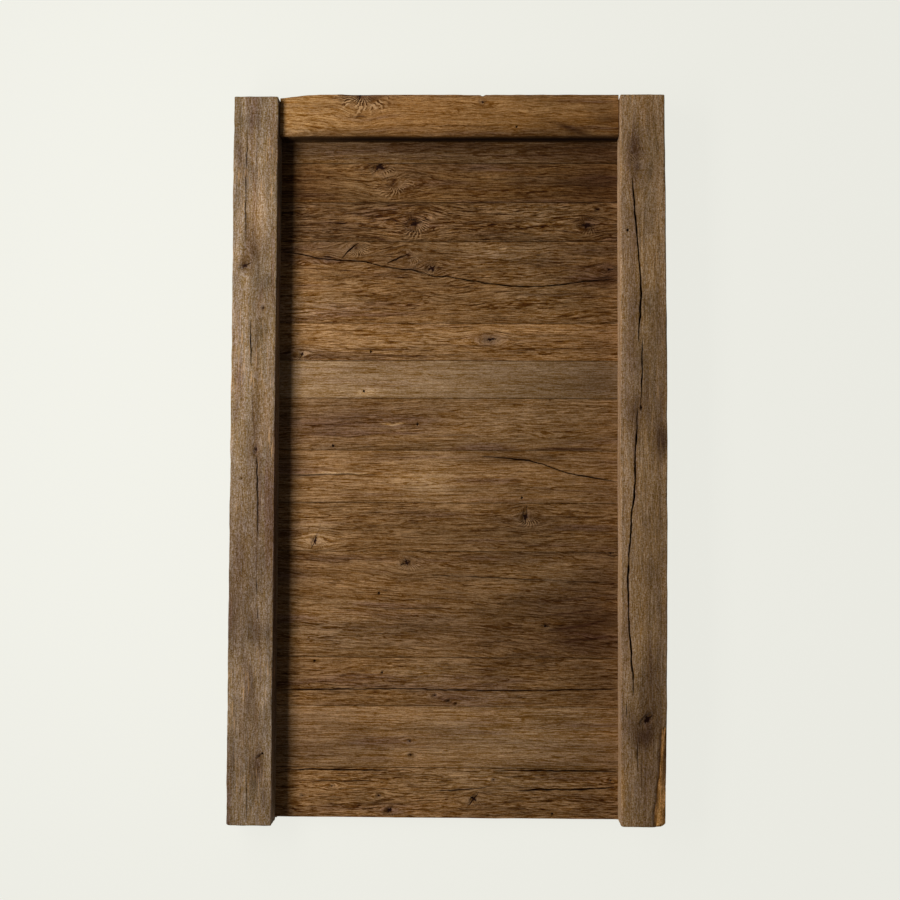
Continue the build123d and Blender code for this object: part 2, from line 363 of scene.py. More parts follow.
RIGHT_POST = Timber(
    1.0, 0.5, 0.45, 0.35, 0.0, 141,
    knots=(Knot(241, 61, 34, 11, 1.0, 0.9, 0.4), Knot(1500, 42, 56, 3, 0.1, 0.5, 0.7), Knot(946, 48, 14, 4, 0.7)),
    splits=(
        Split((
            (1479, 26.5), (1437, 31.5), (1379, 35.5), (1332, 39.5), (1284, 43.5), (1245, 47.5), (1207, 48.5),
            (1153, 45.5), (1098, 41.5),
        ), 4.0, 13),
        Split(((1105, 50.5), (1045, 50.5), (991, 49.5), (954, 45.5)), 3.4, 12),
        Split((
            (946, 39.5), (893, 38.5), (844, 34.5), (799, 34.5), (740, 31.5), (703, 26.5), (635, 21.5), (581, 18.5),
            (529, 17.5), (477, 18.5), (439, 19.5), (403, 23.5), (365, 25.5), (335, 28.5), (294, 29.5),
        ), 4.0, 13),
        Split(((278, 12), (260, 14), (244, 13)), 1.6, 4),
        Split(((205, 37), (170, 38), (118, 39)), 1.6, 4),
    ),
    nails=((1354, 17.5),),
    stains=(
        Stain(1640, 60, 60, 30, 0.3, "gold"), Stain(1640, 60, 70, 90, 0.3, "bare"), Stain(1454, 88, 60, 22, 0.4, "bare"),
        Stain(1290, 60, 170, 90, 0.22, "bare"), Stain(1010, 60, 150, 90, 0.3, "umber"), Stain(640, 60, 160, 26, 0.25, "bare"),
        Stain(740, 60, 200, 90, 0.12, "bare"), Stain(420, 60, 200, 90, 0.18, "bare"), Stain(100, 60, 150, 90, 0.3, "bare"),
        Stain(1545, 36, 44, 20, 0.8, "pitch"), Stain(1480, 36, 60, 12, 0.4, "pitch"), Stain(1202, 90, 100, 18, 0.25, "pitch"),
        Stain(1122, 96, 34, 14, 0.3, "pitch"), Stain(840, 106, 3000, 16, 0.22, "bare"), Stain(320, -20, 330, 40, 0.24, "umber"), Stain(1360, 18, 60, 10, 0.25, "umber"),
        Stain(940, 32, 46, 22, 0.65, "pitch"), Stain(870, 94, 38, 20, 0.7, "pitch"),
        Stain(560, 70, 60, 30, 0.2, "umber"), Stain(330, 60, 60, 30, 0.3, "umber"), Stain(246, 58, 50, 24, 0.45, "pitch"),
        Stain(203, 50, 32, 36, 0.8, "pitch"), Stain(236, 20, 30, 8, 0.4, "umber"), Stain(110, 60, 70, 30, 0.3, "plum"),
    ),
    streaks=(
        # The pale streak is painted light on the post's inner side, the side that faces the lamp.
        Streak(((-900, -40), (2600, -40)), 45, 0.4, "pale"), Streak(((150, 7), (80, 6), (10, 7)), 4.5, 0.9, "honey"),
        Streak(((180, 50), (120, 47), (60, 48)), 1.4, 0.5),
    ),
    cloud=0.3,
)


class CladdingSection(bpy.types.PropertyGroup):
    """Sizes of the joints and edges."""
    groove_depth: FloatProperty(
        name="Groove depth", description="Depth of the groove in a board's lower edge, in millimetres",
        default=8.1, min=1, max=15,
    )
    tongue_length: FloatProperty(
        name="Tongue length", description="How far a board's tongue stands out, in millimetres", default=8, min=1, max=15,
    )
    tongue_thickness: FloatProperty(
        name="Tongue thickness", description="Thickness of the tongue, in millimetres", default=7, min=2, max=12,
    )
    clearance: FloatProperty(
        name="Clearance", description="Room on each side of a tongue or a board's end, in millimetres",
        default=0.2, min=0, max=2,
    )
    housing_depth: FloatProperty(
        name="Housing depth", description="Depth of the grooves that hold the boards' ends, in millimetres",
        default=15, min=5, max=40,
    )
    post_arris: FloatProperty(
        name="Post arris", description="Radius of a post's worn edges, in millimetres", default=4.5, min=0.5, max=15,
    )
    board_arris: FloatProperty(
        name="Board arris", description="Radius of a board's edges, in millimetres", default=0.4, min=0.2, max=5,
    )
    rail_arris: FloatProperty(
        name="Rail arris", description="Radius of the rail's worn edges, in millimetres", default=2.6, min=0.5, max=10,
    )


class CladdingGrain(bpy.types.PropertyGroup):
    """How deep and how fine the surface is worked."""
    cell_across: FloatProperty(
        name="Cell across", description="Mesh spacing across the grain, in millimetres", default=2.2, min=1, max=20,
    )
    cell_along: FloatProperty(
        name="Cell along", description="Mesh spacing along the grain, in millimetres", default=4.5, min=1, max=40,
    )
    relief: FloatProperty(
        name="Relief", description="Height of the worn ridges of the grain, in millimetres", default=0.55, min=0, max=3,
    )
    fibre_relief: FloatProperty(
        name="Fibre relief", description="Height of the fine fibres", default=0.0016, min=0, max=0.01,
        unit="LENGTH",
    )
    roughness: FloatProperty(
        name="Roughness", description="Roughness of the bare timber", default=0.72, min=0, max=1, subtype="FACTOR",
    )


class CladdingColours(bpy.types.PropertyGroup):
    """Colours of the old timber, with painted shade for the rail's underside and painted light for the right post's
    inner side.
    """
    brown: FloatVectorProperty(
        name="Brown", description="Aged brown of the boards", subtype="COLOR", size=3, default=dye(128, 96, 64),
    )
    gold: FloatVectorProperty(
        name="Gold", description="Warm timber under the worn surface", subtype="COLOR", size=3, default=dye(138, 96, 53),
    )
    honey: FloatVectorProperty(
        name="Honey", description="Fresh golden timber of breaks and lit sides", subtype="COLOR", size=3,
        default=dye(178, 136, 86),
    )
    umber: FloatVectorProperty(
        name="Umber", description="Dark brown bands", subtype="COLOR", size=3, default=dye(72, 50, 35),
    )
    plum: FloatVectorProperty(
        name="Plum", description="Purplish heartwood", subtype="COLOR", size=3, default=dye(92, 62, 50),
    )
    bare: FloatVectorProperty(
        name="Bare", description="Pale brushed fibres", subtype="COLOR", size=3, default=dye(178, 140, 98),
    )
    # Painted light: pale brightens the right post's inner side, the side that faces the lamp.
    pale: FloatVectorProperty(
        name="Pale", description="Pale pinkish timber of the right post's inner side", subtype="COLOR", size=3,
        default=dye(212, 170, 128),
    )
    pitch: FloatVectorProperty(
        name="Pitch", description="Nearly black inside of splits and knots", subtype="COLOR", size=3,
        default=dye(50, 19, 4),
    )
    # Painted shade: the near black laid along the rail's underside.
    underside_shade: FloatVectorProperty(
        name="Soot", description="Darkest hollows", subtype="COLOR", size=3, default=dye(20, 8, 3),
    )
    silver: FloatVectorProperty(
        name="Silver", description="Greyish weathered left post", subtype="COLOR", size=3, default=dye(124, 104, 81),
    )
    drab: FloatVectorProperty(
        name="Drab", description="Darker weathered right post", subtype="COLOR", size=3, default=dye(141, 112, 76),
    )


class CladdingStage(bpy.types.PropertyGroup):
    """The light and the floor."""
    lamp_power: FloatProperty(
        name="Lamp power", description="Power of the tall soft lamp on the left", default=36, min=0, unit="POWER",
    )
    fill: FloatProperty(
        name="Fill", description="Strength of the even light from all round", default=0.12, min=0, max=2,
    )
    floor: FloatVectorProperty(
        name="Floor", description="Colour of the floor and the background", subtype="COLOR", size=3,
        default=dye(239, 239, 231),
    )
    seed: IntProperty(name="Seed", description="Seed of the fine grain", default=7)


def settings():
    scene = bpy.context.scene
    return scene.cladding_section, scene.cladding_grain, scene.cladding_colours, scene.cladding_stage


def lattice_noise(x, y, seed):
    """Smooth random heights from -1 to 1 on a lattice of unit cells."""
    table = np.random.default_rng(seed).uniform(-1, 1, (LATTICE, LATTICE))
    x_cell, y_cell = np.floor(x).astype(int), np.floor(y).astype(int)
    x_share, y_share = x - x_cell, y - y_cell
    x_share = x_share * x_share * (3 - 2 * x_share)
    y_share = y_share * y_share * (3 - 2 * y_share)
    x_next, y_next = (x_cell + 1) % LATTICE, (y_cell + 1) % LATTICE
    x_cell, y_cell = x_cell % LATTICE, y_cell % LATTICE
    low = table[x_cell, y_cell] * (1 - x_share) + table[x_next, y_cell] * x_share
    high = table[x_cell, y_next] * (1 - x_share) + table[x_next, y_next] * x_share
    return low * (1 - y_share) + high * y_share


def layered_noise(x, y, seed, layers=4):
    """Lattice noise with finer layers added, each half as strong as the last."""
    return sum(lattice_noise(x * 2**n, y * 2**n, seed + n) / 2**n for n in range(layers))


def smooth_step(value, start, end):
    share = np.clip((value - start) / (end - start), 0, 1)
    return share * share * (3 - 2 * share)


def spaced(start, end, cell, dense):
    """Places from start to end a cell apart, and closer round each (centre, reach, finer cell)."""
    places = np.linspace(start, end, 6000)
    density = np.full_like(places, 1 / cell)
    for centre, reach, finer in dense:
        near = 1 - smooth_step(np.abs(places - centre), reach, reach + 2 * cell)
        density = np.maximum(density, near / finer + (1 - near) / cell)
    steps = (density[1:] + density[:-1]) / 2 * np.diff(places)
    total = np.concatenate([[0], np.cumsum(steps)])
    count = int(math.ceil(total[-1]))
    return np.interp(np.linspace(0, total[-1], count + 1), total, places)


class Courses:
    """Splits that run along the grain, and the rows of the mesh that follow them."""

    def __init__(self, splits, stations, low, high):
        self.low, self.high = low, high
        self.lanes = self.sort_into_lanes(splits)
        self.centres, self.strength = [], []
        gap = 5.0
        floor = low + gap
        for number, lane in enumerate(self.lanes):
            points = sorted(point for split in lane for point in split.course)
            centre = np.interp(stations, [p[0] for p in points], [p[1] for p in points])
            seed = int(points[0][0]) + number
            centre = centre + 0.9 * layered_noise(stations / 17, stations * 0 + number, seed, 3)
            room = gap * (len(self.lanes) - number)
            centre = np.minimum(np.maximum(centre, floor), high - room)
            floor = centre + gap
            self.centres.append(centre)
            self.strength.append([self.opening(split, stations) for split in lane])
        self.marks = [low.mean()] + [c.mean() for c in self.centres] + [high.mean()]
        for number in range(1, len(self.marks)):
            self.marks[number] = max(self.marks[number], self.marks[number - 1] + gap)

    @staticmethod
    def sort_into_lanes(splits):
        """Groups the splits so that those in one lane follow each other along the grain."""
        lanes = []
        for split in sorted(splits, key=lambda s: np.mean([p[1] for p in s.course])):
            start, end = min(p[0] for p in split.course), max(p[0] for p in split.course)
            for lane in lanes:
                taken = [(min(p[0] for p in s.course), max(p[0] for p in s.course)) for s in lane]
                if all(end < a - 12 or start > b + 12 for a, b in taken):
                    lane.append(split)
                    break
            else:
                lanes.append([split])
        return sorted(lanes, key=lambda lane: np.mean([p[1] for s in lane for p in s.course]))

    @staticmethod
    def opening(split, stations):
        """How far open a split is at each station, pointed at both ends."""
        start, end = min(p[0] for p in split.course), max(p[0] for p in split.course)
        reach = min(60.0, (end - start) / 2)
        taper = np.clip(np.minimum(stations - start, end - stations) / reach, 0, 1)
        uneven = 0.86 + 0.3 * layered_noise(stations / 23, stations * 0, int(start) + 5, 3)
        return split, np.sqrt(taper) * uneven * (taper > 0)

    def rows(self, cell):
        """Places across the reference section, closer together where the splits run."""
        dense = []
        for mark, lane in zip(self.marks[1:-1], self.lanes):
            width = max(split.width for split in lane)
            dense.append((mark, width, max(0.45, width / 4)))
        return spaced(self.marks[0], self.marks[-1], cell, dense)

    def bend(self, rows):
        """The rows at each station, shifted so that they follow the splits."""
        knots = [np.full_like(self.low, self.marks[0])]
        places = [self.low]
        for mark, centre, lane in zip(self.marks[1:-1], self.centres, self.lanes):
            side = min(2.0, max(split.width for split in lane))
            for shift in (-side, side):
                knots.append(np.full_like(self.low, mark + shift))
                places.append(centre + shift)
        knots.append(np.full_like(self.low, self.marks[-1]))
        places.append(self.high)
        knots, places = np.stack(knots, 1), np.stack(places, 1)
        return np.stack([np.interp(rows, knots[i], places[i]) for i in range(len(knots))])

    def carve(self, across):
        """Depth and darkness of the splits at each point of the face."""
        depth, dark = np.zeros_like(across), np.zeros_like(across)
        for centre, openings in zip(self.centres, self.strength):
            for split, share in openings:
                half = np.maximum(split.width / 2 * share, 1e-3)[:, None]
                distance = np.abs(across - centre[:, None])
                wall = np.clip(1.25 - distance / half, 0, 1) * (share[:, None] > 0)
                lip = np.exp(-((distance / 3.2) ** 2)) * share[:, None]
                depth = np.maximum(depth, split.depth * wall * share[:, None] + 0.35 * lip)
                dark = np.maximum(dark, split.dark * np.clip(1.6 * wall, 0, 1))
                dark = np.maximum(dark, 0.28 * split.dark * lip)
        return depth, dark


class Surface:
    """The skin of one timber: where its points are and what they look like."""

    def __init__(self, timber, along, across):
        self.timber = timber
        self.along, self.across = along, across

    def grain(self):
        """The height across the grain that each point belongs to: level lines follow the grain."""
        timber = self.timber
        line = self.across + timber.slope * self.along
        line = line + timber.wave * 9 * layered_noise(self.along / 330, self.across / 60, timber.seed, 3)
        line = line + timber.wave * 3.0 * layered_noise(self.along / 58, self.across / 17, timber.seed + 9, 3)
        for knot in timber.knots:
            near = self.round_knot(knot, knot.stretch, 0.7)
            line = line - (self.across - knot.across) * 0.97 * np.exp(-(near**2))
        return line

    def round_knot(self, knot, stretch, squash):
        """Distance from a knot in its own reach, stretched along the grain."""
        along = (self.along - knot.along) / (knot.reach * stretch)
        across = (self.across - knot.across) / (knot.reach * squash)
        return np.hypot(along, across)

    def relief(self, line, amount):
        """Heights of the worn face: ridges of hard grain, and soft waves from the saw."""
        timber = self.timber
        ridges = layered_noise(self.along / 85, line / 5.5, timber.seed + 20, 3)
        combs = layered_noise(self.along / 34, line / 3.1, timber.seed + 30, 2)
        waves = layered_noise(self.along / 120, self.across / 70, timber.seed + 40, 2)
        height = amount * (0.35 + 0.9 * timber.coarse) * (ridges + 0.5 * combs) + 0.35 * waves
        for knot in timber.knots:
            near = self.round_knot(knot, 1.0, 0.8)
            height = height + 0.5 * np.exp(-((near - 0.55) ** 2) / 0.08) - 0.7 * np.exp(-((near / 0.4) ** 2))
        return height

    def pits(self, nail_radius):
        """Depth of nail holes and knot openings, and each point's place in the nearest of them."""
        depth = np.zeros_like(self.across)
        place = np.full((*self.across.shape, 3), (4.0, 4.0, 0.0))
        nearest = np.full_like(self.across, 4.0)
        nail = np.zeros_like(self.across)
        holes = [(a, c, nail_radius, nail_radius, 0.0, 5.0) for a, c in self.timber.nails]
        for knot in self.timber.knots:
            long = knot.core * (0.5 + 0.9 * knot.opening)
            holes.append((knot.along, knot.across, long * 1.5, long * 0.6, knot.tilt, 2.6 * knot.opening))
        for along, across, long, short, tilt, deep in holes:
            da, dc = self.along - along, self.across - across
            turned_a = (da * math.cos(tilt) + dc * math.sin(tilt)) / long
            turned_c = (dc * math.cos(tilt) - da * math.sin(tilt)) / short
            radius = np.hypot(turned_a, turned_c)
            depth = np.maximum(depth, deep * smooth_step(1.25 - radius, 0, 0.5))
            closer = radius < nearest
            nearest = np.where(closer, radius, nearest)
            nail = np.where(closer, float(long == nail_radius), nail)
            for axis, value in enumerate((turned_a, turned_c, smooth_step(3.6 - radius, 0, 0.6))):
                place[..., axis] = np.where(closer, value, place[..., axis])
        return depth, place, nail

    def knot_places(self):
        """Each point's place in the nearest knot, and how much that knot shows there."""
        place = np.full((*self.across.shape, 3), (3.0, 3.0, 0.0))
        nearest = np.full_like(self.across, 3.0)
        halo = np.zeros_like(self.across)
        for knot in self.timber.knots:
            da = (self.along - knot.along) / (knot.reach * 0.8)
            dc = (self.across - knot.across) / (knot.reach * 0.55)
            radius = np.hypot(da, dc)
            closer = radius < nearest
            nearest = np.where(closer, radius, nearest)
            weight = smooth_step(1.6 - radius, 0, 0.9)
            for axis, value in enumerate((da, dc, weight)):
                place[..., axis] = np.where(closer, value, place[..., axis])
            halo = np.where(closer, knot.halo, halo)
        return place, halo

    def uneven(self, size_along, size_across, seed):
        return layered_noise(self.along / size_along, self.across / size_across, self.timber.seed + seed, 4)

    def paint(self, base, line, paint_colours):
        """The colour of each point before the fine grain is laid over it."""
        timber = self.timber
        tone = base * timber.shade
        colour = np.broadcast_to(tone, (*self.across.shape, 3)).copy()
        bands = layered_noise(self.along / 420, line / 26, timber.seed + 50, 4)
        clouds = self.uneven(170, 55, 55)
        light = 1 + 0.17 * bands + 0.10 * clouds + timber.cloud * self.uneven(62, 34, 57)
        colour *= light[..., None]
        reddish = layered_noise(self.along / 240, line / 17, timber.seed + 60, 3)
        for name, mask in (
            ("plum", smooth_step(reddish, 0.25, 1.1) * 0.5),
            ("gold", smooth_step(-reddish, 0.25, 1.1) * 0.4 * timber.warmth),
            ("umber", smooth_step(self.uneven(300, 30, 70), 0.3, 1.2) * 0.45),
        ):
            self.lay(colour, paint_colours[name] * (0.6 + 0.4 * timber.shade), mask)
        for stain in timber.stains:
            da = (self.along - stain.along) / stain.reach_along
            dc = (self.across - stain.across - stain.slant * (self.along - stain.along)) / stain.reach_across
            spread = np.hypot(da, dc) * (1 + 0.28 * self.uneven(60, 9, 80))
            self.lay(colour, paint_colours[stain.dye], stain.strength * np.exp(-(spread**2) * 1.1))
        for streak in timber.streaks:
            points = sorted(streak.course)
            places = [p[0] for p in points]
            centre = np.interp(self.along, places, [p[1] for p in points])
            centre = centre + 1.1 * layered_noise(self.along / 26, 0 * self.along, timber.seed + abs(int(places[0])), 3)
            reach = (places[-1] - places[0]) / 3
            ends = smooth_step(np.minimum(self.along - places[0], places[-1] - self.along), -4, reach)
            width = streak.width * (0.75 + 0.5 * ends)
            mask = streak.strength * ends * np.exp(-(((self.across - centre) / width) ** 2))
            self.lay(colour, paint_colours[streak.dye], mask)
        for knot in timber.knots:
            near = self.round_knot(knot, 1.0, 0.7)
            rough = near * (1 + 0.25 * self.uneven(9, 6, 90))
            self.lay(colour, paint_colours["umber"], 0.35 * np.exp(-((rough / 0.5) ** 2)))
            self.lay(colour, paint_colours["pitch"], 0.35 * np.exp(-((rough / 0.22) ** 2)))
        return np.clip(colour, 0.002, 0.9)

    @staticmethod
    def lay(colour, dye_colour, mask):
        mask = np.clip(mask, 0, 1)[..., None]
        colour *= 1 - mask
        colour += mask * dye_colour


@dataclass
class Column:
    """One line of points along the timber, with the way that its surface faces there."""
    across: np.ndarray
    height: np.ndarray
    around: np.ndarray
    out_across: float
    out_height: float
    worked: float = 1.0


def line_of(values, *columns):
    """Turns scalars and arrays into arrays with one value for each station."""
    return [np.broadcast_to(np.asarray(c, float), values.shape).copy() for c in columns]


def section_columns(stations, rows, low, high, top, bottom, arris, low_side, high_side, side_cell):
    """The columns round a timber: from the middle of its back, up its low side, over its face and back.

    low_side and high_side list (inward, height) points of a groove or tongue, from the bottom up.
    """
    columns = []

    def add(across, height, around, out_across, out_height, worked=1.0):
        across, height, around = line_of(stations, across, height, around)
        columns.append(Column(across, height, around, out_across, out_height, worked))

    def side(edge, sign, shape, start_arris, rising):
        """One side, sign -1 for the low one: plain stretches with the joint's shape between."""
        points = [(0.0, bottom)] + list(shape) + [(0.0, top - start_arris.mean())]
        placed = []
        for (inward, height), (next_inward, next_height) in zip(points, points[1:]):
            plain = inward == 0 and next_inward == 0
            count = max(1, int(abs(next_height - height) / side_cell)) if plain else 1
            for step in range(count):
                share = step / count
                placed.append((inward + share * (next_inward - inward), height + share * (next_height - height), plain))
        placed.append((0.0, None, True))
        if not rising:
            placed.reverse()
        for inward, height, plain in placed:
            level = top - start_arris if height is None else height
            flat = inward == 0
            add(edge - sign * inward, level, edge + sign * (top - level), sign if flat else 0.0, 0.0, float(flat and plain))

    turns = [math.radians(angle) for angle in (22.5, 45, 67.5)]
    middle = (low + high) / 2
    back_low = spaced(0.0, 1.0, 0.12, [])[1:-1]
    add(middle, bottom, low - (top - bottom) - (middle - low), 0.0, -1.0)
    for share in back_low:
        across = middle + (low - middle) * share
        add(across, bottom, low - (top - bottom) - (across - low), 0.0, -1.0)
    side(low, -1.0, low_side, arris, True)
    for turn in turns:
        out, up = math.cos(turn), math.sin(turn)
        add(low + arris * (1 - out), top - arris * (1 - up), low + arris * (1 - out), -out, up)
    face_start = len(columns)
    for number in range(rows.shape[1]):
        add(rows[:, number], top, rows[:, number], 0.0, 1.0)
    face_end = len(columns)
    for turn in reversed(turns):
        out, up = math.cos(turn), math.sin(turn)
        add(high - arris * (1 - out), top - arris * (1 - up), high - arris * (1 - out), out, up)
    side(high, 1.0, high_side, arris, False)
    for share in back_low[::-1]:
        across = middle + (high - middle) * share
        add(across, bottom, high + (top - bottom) + (high - across), 0.0, -1.0)
    return columns, face_start, face_end


def add_mesh(name, points, colour, grain, knot, pit, extras, flipped):
    """Makes the closed mesh of one timber from its grid of points and their attributes."""
    stations, around = points.shape[:2]
    index = np.arange(stations * around).reshape(stations, around)
    following = np.roll(index, -1, axis=1)
    quads = np.stack([index[:-1], index[1:], following[1:], following[:-1]], -1).reshape(-1, 4)
    caps = [index[0], index[-1][::-1]]
    if flipped:
        quads = quads[:, ::-1]
        caps = [cap[::-1] for cap in caps]
    corners = np.concatenate([quads.ravel(), *caps])
    starts = np.concatenate([np.arange(len(quads)) * 4, len(quads) * 4 + np.array([0, around])])
    mesh = bpy.data.meshes.new(name)
    mesh.vertices.add(stations * around)
    mesh.loops.add(len(corners))
    mesh.polygons.add(len(starts))
    mesh.vertices.foreach_set("co", (points * METRE).astype(np.float32).ravel())
    mesh.loops.foreach_set("vertex_index", corners.astype(np.int32))
    mesh.polygons.foreach_set("loop_start", starts.astype(np.int32))
    mesh.update(calc_edges=True)
    mesh.validate()
    for label, values in (("grain", grain * METRE), ("knot", knot), ("pit", pit)):
        layer = mesh.attributes.new(label, "FLOAT_VECTOR", "POINT")
        layer.data.foreach_set("vector", values.astype(np.float32).ravel())
    for label, values in extras.items():
        layer = mesh.attributes.new(label, "FLOAT", "POINT")
        layer.data.foreach_set("value", values.astype(np.float32).ravel())
    layer = mesh.attributes.new("paint", "FLOAT_COLOR", "POINT")
    full = np.concatenate([colour, np.ones((*colour.shape[:2], 1))], -1)
    layer.data.foreach_set("color", full.astype(np.float32).ravel())
    layer = mesh.attributes.new("end_grain", "FLOAT", "FACE")
    ends = np.zeros(len(starts), np.float32)
    ends[-2:] = 1
    layer.data.foreach_set("value", ends)
    mesh.polygons.foreach_set("use_smooth", np.ones(len(starts), bool))
    mesh.set_sharp_from_angle(angle=math.radians(38))
    timber = bpy.data.objects.new(name, mesh)
    bpy.context.scene.collection.objects.link(timber)
    return timber


def dress(node, timber, material, base, stations, low, high, top, bottom, arris, sides, origin, upright,
          end_round=0.0, quiet_ends=0.0, shape=None):
    """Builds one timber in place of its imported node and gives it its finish.

    stations run along the grain in the row frame; low and high are the edges at each station.
    origin is the (along, across) place that the timber's marks are measured from.
    """
    section, grain_settings, colours, stage = settings()
    paint_colours = {name: np.array(getattr(colours, name)) for name in PAINT_COLOURS}
    along0, across0 = origin
    local = stations - along0
    courses = Courses(timber.splits, local, low - across0, high - across0)
    rows = courses.bend(courses.rows(grain_settings.cell_across)) + across0
    rolling = arris * (0.8 + 0.35 * layered_noise(local / 70, 0 * local, timber.seed + 3, 3))
    inner = (rows - low[:, None]) / (high - low)[:, None]
    rows = low[:, None] + rolling[:, None] + inner * (high - low - 2 * rolling)[:, None]
    columns, face_start, face_end = section_columns(
        stations, rows, low, high, top, bottom, rolling, sides[0], sides[1], 6.0,
    )
    across = np.stack([c.across for c in columns], 1)
    height = np.stack([c.height for c in columns], 1)
    around = np.stack([c.around for c in columns], 1)
    out_across = np.array([c.out_across for c in columns])
    out_height = np.array([c.out_height for c in columns])
    worked = np.array([c.worked for c in columns])
    along = np.broadcast_to(local[:, None], across.shape)
    surface = Surface(timber, along, around - across0)
    line = surface.grain()
    lift = surface.relief(line, grain_settings.relief)
    pit_depth, pit, nail = surface.pits(2.2)
    split_depth, dark = courses.carve(around - across0)
    is_face = (out_height > 0.3).astype(float)
    calm = 1.0
    if quiet_ends:
        inside = np.minimum(local - local[0], local[-1] - local)
        calm = smooth_step(inside, quiet_ends, quiet_ends + 6)[:, None]
    lift = (lift - 0.8) * worked * calm - (pit_depth + split_depth * calm) * is_face
    if end_round:
        inside = np.minimum(local - local[0], local[-1] - local)
        drop = end_round - np.sqrt(np.maximum(end_round**2 - np.maximum(end_round - inside, 0) ** 2, 0))
        lift = lift - drop[:, None] * worked
    across = across + lift * out_across
    height = np.maximum(height + lift * out_height, bottom)
    colour = surface.paint(base, line, paint_colours)
    if shape:
        across, height, colour, dark = shape(local, across, height, colour, dark)
    if upright:
        points = np.stack([across, np.broadcast_to(stations[:, None], across.shape), height], -1)
    else:
        points = np.stack([np.broadcast_to(stations[:, None], across.shape), across, height], -1)
    if end_round:
        uneven = 0.8 * layered_noise(across[[0, -1]] / 23, height[[0, -1]] / 23, timber.seed + 14, 3)
        points[[0, -1], :, 1 if upright else 0] += uneven * np.array([[1], [-1]]) * 0.5
    knot, halo = surface.knot_places()
    grain = np.stack([along, line, np.full_like(line, 37.0 * timber.seed)], -1)
    extras = {
        "opening": dark * is_face,
        "coarse": np.full_like(line, timber.coarse),
        "halo": halo,
        "nail": nail,
    }
    piece = add_mesh(node + "_timber", points, colour, grain, knot, pit, extras, upright)
    piece.data.materials.append(material)
    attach(piece, "root")
    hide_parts(node)
    return piece


class Nodes:
    """Short ways to write a material's nodes."""

    def __init__(self, name):
        self.material = bpy.data.materials.new(name)
        self.material.use_nodes = True
        self.tree = self.material.node_tree
        self.tree.nodes.clear()

    def put(self, kind, **values):
        node = self.tree.nodes.new(kind)
        for key, value in values.items():
            setattr(node, key, value)
        return node

    def join(self, value, socket):
        if isinstance(value, bpy.types.NodeSocket):
            self.tree.links.new(value, socket)
        else:
            socket.default_value = value

    def attribute(self, name, output="Fac"):
        return self.put("ShaderNodeAttribute", attribute_name=name).outputs[output]

    def math(self, operation, first, second=0.0, clamp=False):
        node = self.put("ShaderNodeMath", operation=operation, use_clamp=clamp)
        self.join(first, node.inputs[0])
        self.join(second, node.inputs[1])
        return node.outputs[0]

    def scaled(self, vector, *scale):
        node = self.put("ShaderNodeVectorMath", operation="MULTIPLY")
        self.join(vector, node.inputs[0])
        node.inputs[1].default_value = scale
        return node.outputs[0]

    def noise(self, vector, detail=3.0, roughness=0.55, distortion=0.0):
        node = self.put("ShaderNodeTexNoise", noise_dimensions="3D")
        self.join(vector, node.inputs["Vector"])
        node.inputs["Scale"].default_value = 1.0
        node.inputs["Detail"].default_value = detail
        node.inputs["Roughness"].default_value = roughness
        node.inputs["Distortion"].default_value = distortion
        return node.outputs["Fac"]

    def step(self, value, start, end, low=0.0, high=1.0):
        node = self.put("ShaderNodeMapRange", interpolation_type="SMOOTHSTEP")
        for socket, number in zip(node.inputs, (value, start, end, low, high)):
            self.join(number, socket)
        return node.outputs["Result"]

    def linear(self, value, start, end, low, high):
        node = self.put("ShaderNodeMapRange")
        for socket, number in zip(node.inputs, (value, start, end, low, high)):
            self.join(number, socket)
        return node.outputs["Result"]

    def blend(self, share, first, second, kind="MIX"):
        node = self.put("ShaderNodeMix", data_type="RGBA", blend_type=kind, clamp_factor=True)
        colours = [socket for socket in node.inputs if socket.type == "RGBA"]
        self.join(share, node.inputs["Factor"])
        for value, socket in zip((first, second), colours):
            self.join(value if isinstance(value, bpy.types.NodeSocket) else (*value, 1.0), socket)
        return [socket for socket in node.outputs if socket.type == "RGBA"][0]

    def stain(self, colour, light, gains):
        """Lightens or darkens a colour; light strokes turn paler and dark ones warmer."""
        channels = self.put("ShaderNodeCombineXYZ")
        for socket, power, most in zip(channels.inputs, (1.0, 1.45, 3.0), (1.7, 1.5, 1.3)):
            self.join(self.math("POWER", self.math("MINIMUM", light, most), power), socket)
        node = self.put("ShaderNodeVectorMath", operation="MULTIPLY")
        self.join(self.scaled(colour, *gains), node.inputs[0])
        self.join(channels.outputs[0], node.inputs[1])
        return node.outputs[0]

    def between(self, share, first, second):
        """A value between two others."""
        node = self.put("ShaderNodeMix", data_type="FLOAT", clamp_factor=True)
        for socket, value in zip([s for s in node.inputs if s.type == "VALUE"], (share, first, second)):
            self.join(value, socket)
        return [s for s in node.outputs if s.type == "VALUE"][0]

    def deepen(self, colour, factor):
        """A darker, warmer shade of a colour."""
        node = self.put("ShaderNodeVectorMath", operation="MULTIPLY")
        self.join(colour, node.inputs[0])
        node.inputs[1].default_value = (factor, factor**1.3, factor**1.9)
        return node.outputs[0]

    def brighten(self, colour, factor):
        node = self.put("ShaderNodeVectorMath", operation="SCALE")
        self.join(colour, node.inputs[0])
        self.join(factor, node.inputs["Scale"])
        return node.outputs[0]


